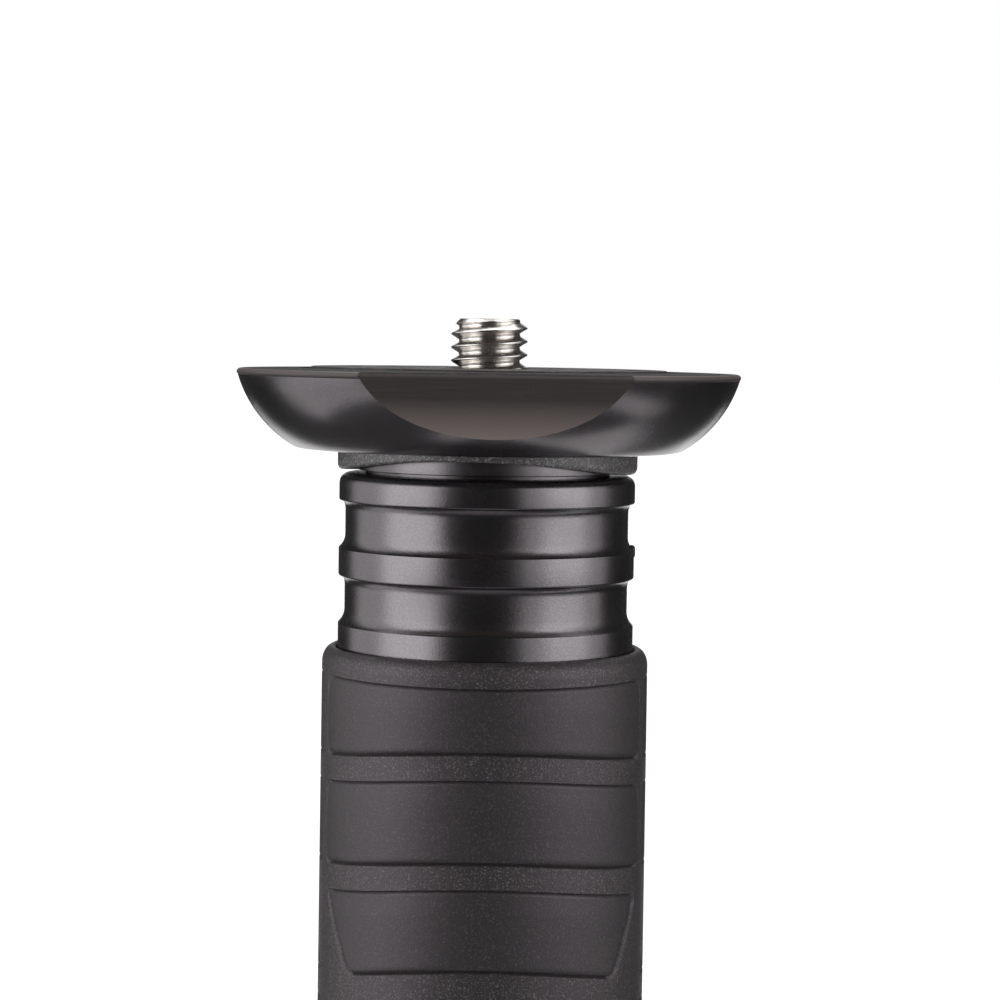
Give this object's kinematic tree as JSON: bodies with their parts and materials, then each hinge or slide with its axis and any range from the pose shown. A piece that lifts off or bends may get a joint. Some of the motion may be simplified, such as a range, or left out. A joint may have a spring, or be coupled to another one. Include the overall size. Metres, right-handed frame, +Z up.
{
  "type": "camera monopod",
  "caption": "Telescopic twist-lock camera monopod with a dish platform, threaded stud, rubber grip and a foot that hides a spike.",
  "frame": {"origin": "centre of the rubber foot's flat sole", "axes": "+Z up along the tubes to the camera screw, -Y towards the side shown as the front"},
  "size_m": [0.06, 0.0526, 0.4302],
  "materials": {
    "stainless": "bright turned stainless steel",
    "dark_anodised": "satin black anodised",
    "flat_anodised": "satin black anodised, milled flats",
    "neck_metal": "satin black anodised, slightly grainy",
    "ring_plastic": "fine sandy matte",
    "pad_rubber": "matte",
    "grip_rubber": "matte, finely speckled",
    "tube_carbon": "satin clear coat over carbon fibre weave",
    "lock_metal": "satin black anodised",
    "sleeve_rubber": "matte ribbed",
    "collet_plastic": "moulded nylon",
    "shim_plastic": "moulded nylon",
    "seal_rubber": "smooth",
    "screw_steel": "black oxide",
    "insert_brass": "turned",
    "foot_rubber": "matte"
  },
  "bodies": {
    "section_5": {"tube_5": "tube_carbon", "guide_shims_5": "shim_plastic", "foot_holder": "lock_metal", "spike": "stainless"},
    "section_4": {"tube_4": "tube_carbon", "guide_shims_4": "shim_plastic", "lock_ferrule_4": "lock_metal"},
    "section_3": {"tube_3": "tube_carbon", "guide_shims_3": "shim_plastic", "lock_ferrule_3": "lock_metal"},
    "section_2": {"tube_2": "tube_carbon", "guide_shims_2": "shim_plastic", "lock_ferrule_2": "lock_metal"},
    "section_1": {"tube_1": "tube_carbon", "lock_ferrule_1": "lock_metal", "top_cap": "dark_anodised", "cap_set_screw": "screw_steel", "grip": "grip_rubber", "spindle": "neck_metal", "platform_ring": "ring_plastic", "platform": "flat_anodised", "platform_pad": "pad_rubber", "camera_screw": "stainless"},
    "foot_slider": {"foot_washer": "stainless"},
    "foot": {"rubber_foot": "foot_rubber", "foot_insert": "insert_brass"},
    "collet_1": {"lock_collet_1": "collet_plastic"},
    "collar_1": {"lock_collar_1": "lock_metal", "lock_sleeve_1": "sleeve_rubber", "dust_seal_1": "seal_rubber"},
    "collet_2": {"lock_collet_2": "collet_plastic"},
    "collar_2": {"lock_collar_2": "lock_metal", "lock_sleeve_2": "sleeve_rubber", "dust_seal_2": "seal_rubber"},
    "collet_3": {"lock_collet_3": "collet_plastic"},
    "collar_3": {"lock_collar_3": "lock_metal", "lock_sleeve_3": "sleeve_rubber", "dust_seal_3": "seal_rubber"},
    "collet_4": {"lock_collet_4": "collet_plastic"},
    "collar_4": {"lock_collar_4": "lock_metal", "lock_sleeve_4": "sleeve_rubber", "dust_seal_4": "seal_rubber"}
  },
  "joints": [
    {"name": "section_4_slide", "type": "slide", "parent": "section_5", "child": "section_4", "axis": [0, 0, 1], "range_m": [0, 0.313]},
    {"name": "section_3_slide", "type": "slide", "parent": "section_4", "child": "section_3", "axis": [0, 0, 1], "range_m": [0, 0.2878]},
    {"name": "section_2_slide", "type": "slide", "parent": "section_3", "child": "section_2", "axis": [0, 0, 1], "range_m": [0, 0.2626]},
    {"name": "section_1_slide", "type": "slide", "parent": "section_2", "child": "section_1", "axis": [0, 0, 1], "range_m": [0, 0.2374]},
    {"name": "lock_1_drop", "type": "slide", "parent": "section_1", "child": "collet_1", "axis": [0, 0, -1], "range_m": [0, 0.00051]},
    {"name": "lock_1_turn", "type": "hinge", "parent": "collet_1", "child": "collar_1", "pos_m": [0, 0, 0.1], "axis": [0, 0, -1], "range_deg": [0, 120]},
    {"name": "lock_2_drop", "type": "slide", "parent": "section_2", "child": "collet_2", "axis": [0, 0, -1], "range_m": [0, 0.00051]},
    {"name": "lock_2_turn", "type": "hinge", "parent": "collet_2", "child": "collar_2", "pos_m": [0, 0, 0.1], "axis": [0, 0, -1], "range_deg": [0, 120]},
    {"name": "lock_3_drop", "type": "slide", "parent": "section_3", "child": "collet_3", "axis": [0, 0, -1], "range_m": [0, 0.00051]},
    {"name": "lock_3_turn", "type": "hinge", "parent": "collet_3", "child": "collar_3", "pos_m": [0, 0, 0.1], "axis": [0, 0, -1], "range_deg": [0, 120]},
    {"name": "lock_4_drop", "type": "slide", "parent": "section_4", "child": "collet_4", "axis": [0, 0, -1], "range_m": [0, 0.00051]},
    {"name": "lock_4_turn", "type": "hinge", "parent": "collet_4", "child": "collar_4", "pos_m": [0, 0, 0.1], "axis": [0, 0, -1], "range_deg": [0, 120]},
    {"name": "foot_rise", "type": "slide", "parent": "section_5", "child": "foot_slider", "axis": [0, 0, 1], "range_m": [0, 0.00751]},
    {"name": "foot_turn", "type": "hinge", "parent": "foot_slider", "child": "foot", "pos_m": [0, 0, 0.01], "axis": [0, 0, 1], "range_deg": [0, 2160]}
  ],
  "couplings": [
    {"joint": "lock_1_drop", "follows": "lock_1_turn", "m_per_rad": 0.00023873},
    {"joint": "lock_2_drop", "follows": "lock_2_turn", "m_per_rad": 0.00023873},
    {"joint": "lock_3_drop", "follows": "lock_3_turn", "m_per_rad": 0.00023873},
    {"joint": "lock_4_drop", "follows": "lock_4_turn", "m_per_rad": 0.00023873},
    {"joint": "foot_rise", "follows": "foot_turn", "m_per_rad": 0.00019894}
  ]
}
